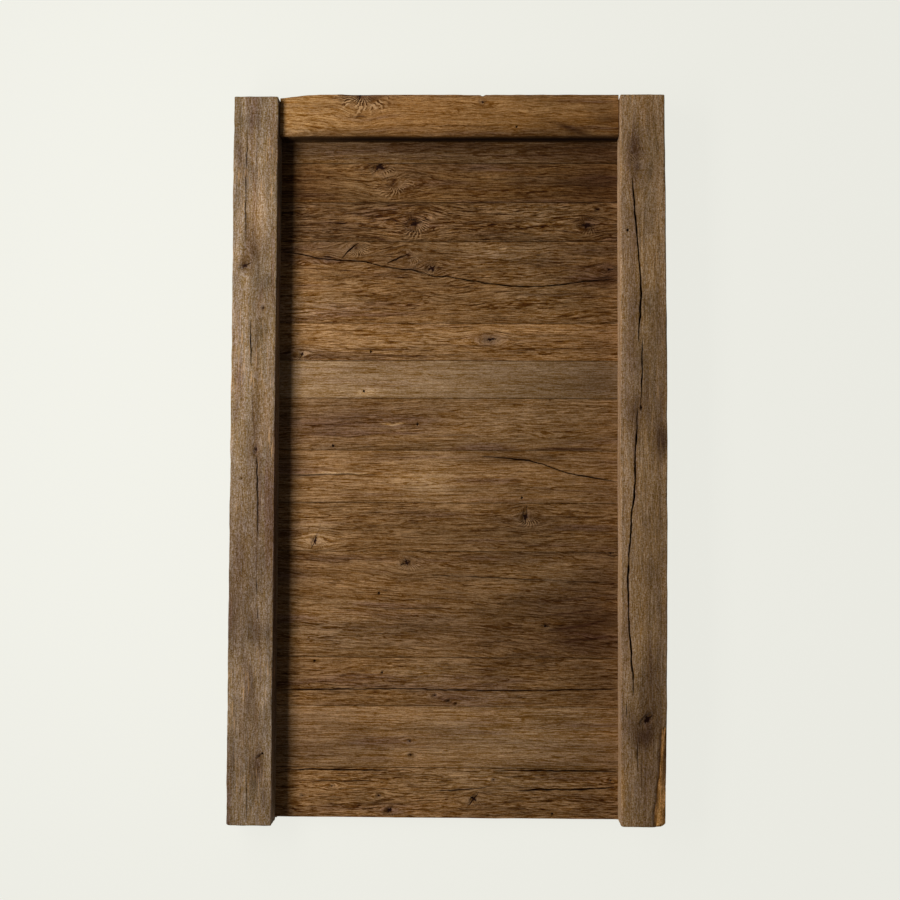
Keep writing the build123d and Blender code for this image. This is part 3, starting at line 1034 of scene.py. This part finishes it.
def timber_material(name, streaks, ring_count, rings_dark, dashes, pores, flecks, scratches,
                    stroke=1.0, mottle=0.03, gains=(1.06, 1.09, 1.03)):
    """Old timber: streaks and fibres along the grain, open pores, knots, splits and end grain."""
    section, grain_settings, colours, stage = settings()
    pitch, bare, umber = tuple(colours.pitch), tuple(colours.bare), tuple(colours.umber)
    n = Nodes(name)
    grain = n.attribute("grain", "Vector")
    coarse = n.attribute("coarse")
    parts = n.put("ShaderNodeSeparateXYZ")
    n.join(grain, parts.inputs[0])
    broad = n.noise(n.scaled(grain, 3, 38, 1), 4, 0.6, 0.2)
    wobble = n.noise(n.scaled(grain, 9, 60, 2), 3, 0.6)
    long_lines = n.noise(n.scaled(grain, 6.5 * stroke, 370, 1), 5, 0.74, 0.15)
    short_strokes = n.noise(n.scaled(grain, 33 * stroke, 310, 1), 5, 0.72, 0.35)
    streak = n.between(n.step(coarse, 0.2, 0.95, 0.1, 0.85), long_lines, short_strokes)
    hair = n.noise(n.scaled(grain, 30 * stroke, 560, 4), 4, 0.75, 0.3)
    fibre = n.noise(n.scaled(grain, 120, 820, 1), 3, 0.6)

    phase = n.math("MULTIPLY", parts.outputs[1], ring_count)
    phase = n.math("ADD", phase, n.math("MULTIPLY", broad, 9.0))
    phase = n.math("ADD", phase, n.math("MULTIPLY", wobble, 3.2))
    growth = n.step(n.math("SINE", n.math("MULTIPLY", phase, 2 * math.pi)), 0.5, 0.98)
    broken = n.step(n.noise(n.scaled(grain, 6, 80, 5), 3, 0.6), 0.36, 0.6)
    growth = n.math("MULTIPLY", n.math("MULTIPLY", growth, broken), n.linear(coarse, 0, 1, 0.3, 0.95))

    light = n.linear(broad, 0.3, 0.7, 1 - 0.6 * streaks, 1 + 0.6 * streaks)
    vivid = n.linear(coarse, 0, 1, 1.2 * streaks, 3.9 * streaks)
    light = n.math("MULTIPLY", light, n.math("ADD", n.math("MULTIPLY", n.linear(streak, 0.3, 0.7, -1.15, 0.85), vivid), 1.0))
    light = n.math("MULTIPLY", light, n.math("ADD", n.math("MULTIPLY", n.linear(hair, 0.3, 0.7, -1, 1), vivid), 1.0))
    light = n.math("MULTIPLY", light, n.linear(fibre, 0.3, 0.7, 0.72, 1.28))
    light = n.math("MULTIPLY", light, n.linear(growth, 0.0, 1.0, 1.0 + 0.3 * rings_dark, 1.0 - 1.35 * rings_dark))
    patches = n.noise(n.scaled(n.put("ShaderNodeTexCoord").outputs["Object"], 310, 310, 310), 3, 0.65, 0.5)
    light = n.math("MULTIPLY", light, n.linear(patches, 0.3, 0.7, 1 - 3.2 * mottle, 1 + 3.2 * mottle))
    colour = n.stain(n.attribute("paint", "Color"), light, gains)

    dash_noise = n.noise(n.scaled(grain, 17, 340, 1), 4, 0.65, 0.4)
    dash_edge = n.linear(coarse, 0, 1, 0.64, 0.54)
    dash = n.step(n.math("SUBTRACT", dash_noise, dash_edge), 0.0, 0.06, 0.0, dashes)
    dash = n.math("MULTIPLY", dash, n.linear(coarse, 0, 1, 0.0, 1.1))
    colour = n.blend(dash, colour, n.deepen(colour, 0.33))
    pore_noise = n.noise(n.scaled(grain, 110, 700, 1), 2, 0.5)
    pore = n.step(pore_noise, 0.57, 0.68, 0.0, pores)
    colour = n.blend(pore, colour, n.deepen(colour, 0.38))
    fleck_noise = n.noise(n.scaled(grain, 130, 560, 3), 2, 0.5)
    fleck = n.step(fleck_noise, 0.6, 0.72, 0.0, flecks)
    colour = n.blend(fleck, colour, n.brighten(colour, 1.8))
    ridge = n.step(n.math("SUBTRACT", n.noise(n.scaled(grain, 18, 300, 2), 3, 0.6), 0.56), 0.0, 0.1, 0.0, flecks)
    colour = n.blend(ridge, colour, n.brighten(colour, 1.6))

    place = n.put("ShaderNodeTexCoord").outputs["Object"]
    if scratches:
        turned = n.put("ShaderNodeMapping")
        n.join(place, turned.inputs["Vector"])
        turned.inputs["Rotation"].default_value = (0, 0, math.radians(38))
        turned.inputs["Scale"].default_value = (420, 16, 40)
        patch = n.step(n.noise(n.scaled(place, 7, 7, 7), 2), 0.46, 0.6)
        scratch = n.step(n.noise(turned.outputs["Vector"], 2), 0.56, 0.68, 0.0, scratches)
        colour = n.blend(n.math("MULTIPLY", patch, scratch), colour, bare)

    knot = n.put("ShaderNodeSeparateXYZ")
    n.join(n.attribute("knot", "Vector"), knot.inputs[0])
    reach = n.math("SQRT", n.math("ADD", n.math("POWER", knot.outputs[0], 2.0), n.math("POWER", knot.outputs[1], 2.0)))
    bearing = n.math("ARCTAN2", knot.outputs[1], knot.outputs[0])
    ring_wobble = n.noise(n.scaled(place, 120, 120, 120), 2)
    feather = n.math("ADD", n.math("MULTIPLY", bearing, 27.0), n.math("MULTIPLY", reach, 10.0))
    feather = n.math("SINE", n.math("ADD", feather, n.math("MULTIPLY", ring_wobble, 10.0)))
    patchy = n.step(n.noise(n.scaled(place, 34, 34, 34), 2), 0.42, 0.58)
    fan = n.step(n.math("SINE", n.math("ADD", bearing, 2.62)), -0.7, 0.4, 0.25, 1.0)
    rings = n.math("SINE", n.math("ADD", n.math("MULTIPLY", reach, 26.0), n.math("MULTIPLY", ring_wobble, 9.0)))
    ring_dark = n.math("MULTIPLY", n.step(rings, -0.2, 1.0), n.step(reach, 1.15, 0.5))
    ring_dark = n.math("MULTIPLY", ring_dark, n.math("MULTIPLY", knot.outputs[2], 0.28))
    colour = n.blend(ring_dark, colour, n.deepen(colour, 0.45))
    zone = n.math("MULTIPLY", n.math("MULTIPLY", n.step(reach, 1.5, 0.8), n.step(reach, 0.12, 0.4)), n.attribute("halo"))
    zone = n.math("MULTIPLY", n.math("MULTIPLY", zone, patchy), fan)
    ray_light = n.math("MULTIPLY", n.math("MULTIPLY", n.step(feather, 0.1, 0.9), zone), 0.6)
    colour = n.blend(ray_light, colour, bare)
    ray_dark = n.math("MULTIPLY", n.math("MULTIPLY", n.step(feather, -0.1, -0.9), zone), 0.6)
    colour = n.blend(ray_dark, colour, n.deepen(colour, 0.3))

    pit = n.put("ShaderNodeSeparateXYZ")
    n.join(n.attribute("pit", "Vector"), pit.inputs[0])
    pit_reach = n.math("SQRT", n.math("ADD", n.math("POWER", pit.outputs[0], 2.0), n.math("POWER", pit.outputs[1], 2.0)))
    arms = [n.math("POWER", n.math("ABSOLUTE", pit.outputs[axis]), 0.55) for axis in (0, 1)]
    crossed = n.math("POWER", n.math("ADD", *arms), 1 / 0.55)
    pit_reach = n.between(n.attribute("nail"), crossed, pit_reach)
    ragged = n.linear(n.noise(n.scaled(place, 260, 260, 260), 3, 0.6), 0.3, 0.7, -0.6, 0.5)
    star_at = n.put("ShaderNodeVectorMath", operation="ADD")
    pointing = n.put("ShaderNodeVectorMath", operation="NORMALIZE")
    n.join(n.scaled(n.attribute("pit", "Vector"), 1, 1, 0), pointing.inputs[0])
    n.join(n.scaled(pointing.outputs[0], 1.8, 1.8, 0), star_at.inputs[0])
    n.join(n.scaled(place, 9, 9, 9), star_at.inputs[1])
    star = n.linear(n.noise(star_at.outputs[0], 2, 0.6), 0.35, 0.65, 0.5, 1.7)
    uneven_reach = n.math("ADD", n.math("MULTIPLY", pit_reach, star), n.math("MULTIPLY", ragged, 0.7))
    hole = n.math("MULTIPLY", n.step(uneven_reach, 1.25, 0.85), pit.outputs[2])
    colour = n.blend(hole, colour, tuple(0.35 * value for value in pitch))
    opening = n.attribute("opening")
    colour = n.blend(opening, colour, tuple(0.5 * value for value in pitch))

    around = n.put("ShaderNodeSeparateXYZ")
    n.join(n.scaled(place, 1, 0.06, 1), around.inputs[0])
    heart = n.put("ShaderNodeVectorMath", operation="LENGTH")
    n.join(n.scaled(place, 1, 0.0, 1), heart.inputs[0])
    wavy = n.math("ADD", n.math("MULTIPLY", heart.outputs["Value"], 1500.0), n.math("MULTIPLY", ring_wobble, 8.0))
    rings_end = n.linear(n.math("SINE", wavy), -1, 1, 0.7, 1.12)
    grit = n.linear(n.noise(n.scaled(place, 900, 900, 900), 3), 0.3, 0.7, 0.8, 1.2)
    cut = n.brighten(n.brighten(n.attribute("paint", "Color"), rings_end), grit)
    end_share = n.attribute("end_grain")
    colour = n.blend(end_share, colour, n.brighten(cut, 0.8))

    rough = n.linear(streak, 0.3, 0.7, grain_settings.roughness - 0.07, grain_settings.roughness + 0.1)
    height = n.math("MULTIPLY", streak, 1.1)
    height = n.math("ADD", height, n.math("MULTIPLY", fibre, 0.45))
    height = n.math("SUBTRACT", height, n.math("MULTIPLY", growth, 0.35))
    height = n.math("SUBTRACT", height, n.math("MULTIPLY", dash, 0.5))
    height = n.math("SUBTRACT", height, n.math("MULTIPLY", pore, 0.25))
    height = n.math("SUBTRACT", height, n.math("MULTIPLY", ray_dark, 0.6))
    bump = n.put("ShaderNodeBump")
    bump.inputs["Strength"].default_value = 1.0
    bump.inputs["Distance"].default_value = grain_settings.fibre_relief
    n.join(height, bump.inputs["Height"])
    shader = n.put("ShaderNodeBsdfPrincipled")
    n.join(colour, shader.inputs["Base Color"])
    n.join(rough, shader.inputs["Roughness"])
    n.join(bump.outputs["Normal"], shader.inputs["Normal"])
    shader.inputs["Specular IOR Level"].default_value = 0.07
    output = n.put("ShaderNodeOutputMaterial")
    n.join(shader.outputs["BSDF"], output.inputs["Surface"])
    return n.material


def mark_places(timber, offset):
    """Places along the grain where the mesh is finer: round nail holes and knots."""
    near = [(offset + along, 3.0, 1.1) for along, across in timber.nails]
    return near + [(offset + knot.along, knot.core, 1.3) for knot in timber.knots]


class CLADDING_OT_boards(bpy.types.Operator):
    """Build the thirteen tongued boards between the posts"""
    bl_idname = "cladding.boards"
    bl_label = "Boards"

    def execute(self, context):
        section, grain_settings, colours, stage = settings()
        material = timber_material("board timber", 0.26, 110, 0.62, 0.85, 0.45, 0.35, 0.0, 1.0, 0.07)
        opening_start = node_box("left_post")[1][0]
        for number, timber in enumerate(BOARDS, start=1):
            node = f"board_{number:02d}"
            low_corner, high_corner = node_box(node)
            (left, low, back), (right, high, face) = low_corner, high_corner
            high -= section.tongue_length
            middle = (back + face) / 2
            half = section.tongue_thickness / 2
            tongue = [
                (0.0, middle - half), (-section.tongue_length, middle - half),
                (-section.tongue_length, middle + half), (0.0, middle + half),
            ]
            slack = half + section.clearance
            groove = [
                (0.0, middle - slack), (section.groove_depth, middle - slack),
                (section.groove_depth, middle + slack), (0.0, middle + slack),
            ]
            stations = spaced(left, right, grain_settings.cell_along, mark_places(timber, opening_start))
            edge_low, edge_high = line_of(stations, low, high)
            warm = np.array(colours.gold) * timber.warmth + np.array(colours.brown) * (1 - timber.warmth)
            dress(
                node, timber, material, warm, stations, edge_low, edge_high, face, back,
                section.board_arris, (groove if number > 1 else [], tongue), (opening_start, low), False,
                quiet_ends=section.housing_depth,
            )
        return {"FINISHED"}


class CLADDING_OT_top_rail(bpy.types.Operator):
    """Build the rail that is tenoned between the heads of the posts"""
    bl_idname = "cladding.top_rail"
    bl_label = "Top rail"

    def execute(self, context):
        section, grain_settings, colours, stage = settings()
        material = timber_material("rail timber", 0.24, 110, 0.6, 0.6, 0.4, 0.3, 0.0, 1.0, 0.05, (1.05, 1.07, 1.0))
        (left, low, back), (right, high, face) = node_box("top_rail")
        board_face = node_box("board_13")[1][2]
        tenon_top = node_box("left_post")[1][1]
        opening_start = node_box("left_post")[1][0]
        opening_end = node_box("right_post")[0][0]
        shoulder = 0.8
        shoulders = (opening_start + shoulder, opening_end - shoulder)
        stations = spaced(*shoulders, grain_settings.cell_along, mark_places(RAIL, opening_start))
        tenon = np.linspace(left, shoulders[0], 4), np.linspace(shoulders[1], right, 4)
        stations = np.concatenate([tenon[0][:-1], [shoulders[0] - 0.02], stations, [shoulders[1] + 0.02], tenon[1][1:]])
        inside = stations - opening_start
        sag = 8 * (1 - smooth_step(inside, -10, 110)) ** 1.5
        chipped = 1.2 * layered_noise(inside / 40, 0 * inside, 17, 3)
        notch = 3.0 * np.exp(-(((inside - 472) / 5) ** 2))
        edge_low, edge_high = line_of(stations, low, high - sag - 0.5 * np.abs(chipped) - notch)
        middle = (back + board_face) / 2
        slack = section.tongue_thickness / 2 + section.clearance
        groove = [
            (0.0, middle - slack), (section.groove_depth, middle - slack),
            (section.groove_depth, middle + slack), (0.0, middle + slack),
        ]
        is_tenon = (stations < shoulders[0] - 0.01) | (stations > shoulders[1] + 0.01)

        def cut_tenons(local, across, height, colour, dark):
            limit = np.where(is_tenon, board_face, 1e6)[:, None]
            top = np.where(is_tenon, tenon_top, 1e6)[:, None]
            return np.minimum(across, top), np.minimum(height, limit), colour, dark

        dress(
            "top_rail", RAIL, material, np.array(colours.gold), stations, edge_low, edge_high, face, back,
            section.rail_arris, (groove, []), (opening_start, low), False, shape=cut_tenons,
        )
        return {"FINISHED"}


class CLADDING_OT_posts(bpy.types.Operator):
    """Build the two posts, with their housings, splits and broken edges"""
    bl_idname = "cladding.posts"
    bl_label = "Posts"

    def execute(self, context):
        self.left()
        self.right()
        return {"FINISHED"}

    @staticmethod
    def housing():
        section = settings()[0]
        low_corner, high_corner = node_box("board_01")
        under, over = low_corner[2] - section.clearance, high_corner[2] + section.clearance
        depth = section.housing_depth
        return [(0.0, under), (depth, under), (depth, over), (0.0, over)]

    @staticmethod
    def stations(timber, low, high):
        cell = settings()[1].cell_along
        ends = [(low, 4.0, 0.8), (high, 4.0, 0.8)]
        return spaced(low, high, cell, ends + mark_places(timber, low))

    def left(self):
        section, grain_settings, colours, stage = settings()
        material = timber_material("left post timber", 0.13, 140, 0.14, 0.45, 0.5, 0.15, 0.6, 2.2, 0.15,
                                   (1.1, 1.11, 1.09))
        (outer, foot, back), (inner, head, face) = node_box("left_post")
        stations = self.stations(LEFT_POST, foot, head)
        up = stations - foot
        rounding = 5 - np.sqrt(25 - np.clip(5 - up, 0, 5) ** 2)
        chips = np.abs(layered_noise(up / 55, 0 * up, 31, 4))
        edge_low, edge_high = line_of(stations, outer + rounding + 0.9 * chips, inner)
        dress(
            "left_post", LEFT_POST, material, np.array(colours.silver), stations, edge_low, edge_high,
            face, back, section.post_arris, ([], self.housing()), (foot, outer), True, end_round=2.0,
        )

    def right(self):
        section, grain_settings, colours, stage = settings()
        material = timber_material("right post timber", 0.11, 140, 0.14, 0.4, 0.4, 0.1, 0.6, 2.0, 0.14,
                                   (1.05, 1.07, 1.12))
        (inner, foot, back), (outer, head, face) = node_box("right_post")
        stations = self.stations(RIGHT_POST, foot, head)
        up = stations - foot
        belly = 5 * (2 * up / (head - foot) - 1) ** 2
        rounding = 5 - np.sqrt(25 - np.clip(5 - up, 0, 5) ** 2)
        chips = np.abs(layered_noise(up / 50, 0 * up, 37, 4))
        chamfer = np.clip(6 - up, 0, 6)
        edge_low, edge_high = line_of(stations, inner + rounding, outer - belly - 0.4 * chips - chamfer)
        honey, umber = np.array(colours.honey), np.array(colours.umber)

        def break_arris(local, across, height, colour, dark):
            """The rough break along the outer edge at the foot: fresh timber, brightened further as painted light."""
            share = np.clip(1 - local / 262, 0, 1)[:, None] ** 0.65
            rough = 1 + 0.08 * layered_noise(local[:, None] / 30 + 0 * across, across / 12 + height / 14, 47, 4)
            width, depth = 36 * share * rough, 14 * share * rough
            edge = (outer - belly)[:, None]
            beyond = (across - (edge - width)) / np.maximum(width, 0.1) + (height - face) / np.maximum(depth, 0.1)
            over = np.clip(beyond, 0, None) * (share > 0.02)
            shift = over / 2
            wander = layered_noise(local[:, None] / 26, 0 * local[:, None] + 0.5, 59, 3)
            bright = 22 * np.clip(1 - local / 222, 0, 1)[:, None] ** 0.18 * (1 + 0.16 * wander)
            strands = layered_noise(local[:, None] / 70 + 0 * across, across / 3.2, 53, 4)
            inside = across - (edge - bright) + 3 * strands
            broken = (share > 0.02) * 1.0
            worn = (smooth_step(inside, -2, 3) * broken)[..., None]
            ribbons = smooth_step(layered_noise(local[:, None] / 110 + 0 * across, across / 4, 61, 3), -0.25, 0.25)
            tone = (1 - 0.22 * smooth_step(local, 50, 120)[:, None]) * (0.55 + 0.5 * ribbons) * (1 + 0.6 * strands)
            # Fresh golden timber, brightened about twice more as painted light, since the break faces away from the
            # lamp.
            fresh_timber_and_painted_light = honey * np.array([2.15, 1.88, 1.5]) * np.clip(tone, 0.1, 1)[..., None] ** np.array([1.0, 1.1, 1.35])
            colour = colour * (1 - worn) + fresh_timber_and_painted_light * worn
            bark = umber * np.array([0.8, 0.62, 0.4])
            rims = np.maximum(
                0.7 * np.exp(-(((inside + 1.0) / 3.6) ** 2)),
                0.75 * np.exp(-(((across - edge) / 2.2) ** 2)) * smooth_step(local, 40, 110)[:, None],
            )
            rims = (rims * broken)[..., None]
            colour = colour * (1 - rims) + bark * rims
            return across - shift * width, height - shift * depth, np.clip(colour, 0.003, 0.9), dark * (1 - worn[..., 0])

        dress(
            "right_post", RIGHT_POST, material, np.array(colours.drab), stations, edge_low, edge_high,
            face, back, section.post_arris, (self.housing(), []), (foot, inner), True, end_round=2.0,
            shape=break_arris,
        )


class CLADDING_OT_stage(bpy.types.Operator):
    """Add the floor, the tall soft lamp, the even light and the camera"""
    bl_idname = "cladding.stage"
    bl_label = "Stage"

    def execute(self, context):
        self.camera()
        self.lamp()
        self.floor()
        self.world()
        view = context.scene.view_settings
        view.view_transform = "Standard"
        return {"FINISHED"}

    @staticmethod
    def camera():
        data = bpy.data.cameras.new("camera")
        data.lens = 56
        data.sensor_width = 36
        camera = bpy.data.objects.new("camera", data)
        turn = (
            Matrix.Rotation(0.04471893, 4, "X") @ Matrix.Rotation(0.01833194, 4, "Y")
            @ Matrix.Rotation(0.00366363, 4, "Z")
        )
        camera.matrix_world = Matrix.Translation((0.0627, -0.1315, 3.2896)) @ turn
        bpy.context.scene.collection.objects.link(camera)
        bpy.context.scene.camera = camera

    @staticmethod
    def lamp():
        stage = settings()[3]
        data = bpy.data.lights.new("tall lamp", "AREA")
        data.shape = "RECTANGLE"
        data.size, data.size_y = 0.46, 2.4
        data.energy = stage.lamp_power
        data.color = (1.0, 0.985, 0.96)
        lamp = bpy.data.objects.new("tall lamp", data)
        place = Vector((-1.05, 0.35, 1.2))
        back = (place - Vector((0.0, 0.35, 0.0))).normalized()
        long_side = Vector((0, 1, 0))
        turn = Matrix((long_side.cross(back), long_side, back)).transposed().to_4x4()
        lamp.matrix_world = Matrix.Translation(place) @ turn
        bpy.context.scene.collection.objects.link(lamp)

    @staticmethod
    def floor():
        stage = settings()[3]
        size = 12.0
        mesh = bpy.data.meshes.new("floor")
        corners = [(-size, -size, 0), (size, -size, 0), (size, size, 0), (-size, size, 0)]
        mesh.from_pydata(corners, [], [(0, 1, 2, 3)])
        floor = bpy.data.objects.new("floor", mesh)
        bpy.context.scene.collection.objects.link(floor)
        n = Nodes("pale floor")
        pale = (*stage.floor, 1.0)
        plain = n.put("ShaderNodeBsdfDiffuse")
        plain.inputs["Color"].default_value = pale
        seen = n.put("ShaderNodeEmission")
        seen.inputs["Color"].default_value = pale
        seen.inputs["Strength"].default_value = 1.0
        rays = n.put("ShaderNodeLightPath")
        direct = n.math("MAXIMUM", rays.outputs["Is Camera Ray"], rays.outputs["Is Glossy Ray"])
        direct = n.math("MAXIMUM", direct, rays.outputs["Is Transmission Ray"])
        share = n.math("MULTIPLY", direct, 0.93)
        mix = n.put("ShaderNodeMixShader")
        n.join(share, mix.inputs[0])
        n.join(plain.outputs[0], mix.inputs[1])
        n.join(seen.outputs[0], mix.inputs[2])
        output = n.put("ShaderNodeOutputMaterial")
        n.join(mix.outputs[0], output.inputs["Surface"])
        mesh.materials.append(n.material)

    @staticmethod
    def world():
        stage = settings()[3]
        world = bpy.data.worlds.new("even light")
        bpy.context.scene.world = world
        world.use_nodes = True
        tree = world.node_tree
        tree.nodes.clear()
        light = tree.nodes.new("ShaderNodeBackground")
        light.inputs["Color"].default_value = (1, 1, 1, 1)
        light.inputs["Strength"].default_value = stage.fill
        seen = tree.nodes.new("ShaderNodeBackground")
        seen.inputs["Color"].default_value = (*stage.floor, 1)
        rays = tree.nodes.new("ShaderNodeLightPath")
        mix = tree.nodes.new("ShaderNodeMixShader")
        output = tree.nodes.new("ShaderNodeOutputWorld")
        tree.links.new(rays.outputs["Is Camera Ray"], mix.inputs[0])
        tree.links.new(light.outputs[0], mix.inputs[1])
        tree.links.new(seen.outputs[0], mix.inputs[2])
        tree.links.new(mix.outputs[0], output.inputs["Surface"])


class CLADDING_PT_sidebar(bpy.types.Panel):
    """The steps that build the panel, in order"""
    bl_idname = "CLADDING_PT_sidebar"
    bl_label = "Cladding panel"
    bl_space_type = "VIEW_3D"
    bl_region_type = "UI"
    bl_category = "Cladding"

    def draw(self, context):
        for step in STEPS:
            self.layout.operator(step.bl_idname)


STEPS = (CLADDING_OT_stage, CLADDING_OT_posts, CLADDING_OT_top_rail, CLADDING_OT_boards)
GROUPS = {
    "cladding_section": CladdingSection,
    "cladding_grain": CladdingGrain,
    "cladding_colours": CladdingColours,
    "cladding_stage": CladdingStage,
}


def register():
    for item in (*GROUPS.values(), *STEPS, CLADDING_PT_sidebar):
        bpy.utils.register_class(item)
    for name, group in GROUPS.items():
        setattr(bpy.types.Scene, name, PointerProperty(type=group))


def unregister():
    for name in GROUPS:
        delattr(bpy.types.Scene, name)
    for item in (CLADDING_PT_sidebar, *reversed(STEPS), *reversed(list(GROUPS.values()))):
        bpy.utils.unregister_class(item)


def main():
    register()
    bpy.ops.cladding.stage()
    bpy.ops.cladding.posts()
    bpy.ops.cladding.top_rail()
    bpy.ops.cladding.boards()


if __name__ == "__main__":
    main()
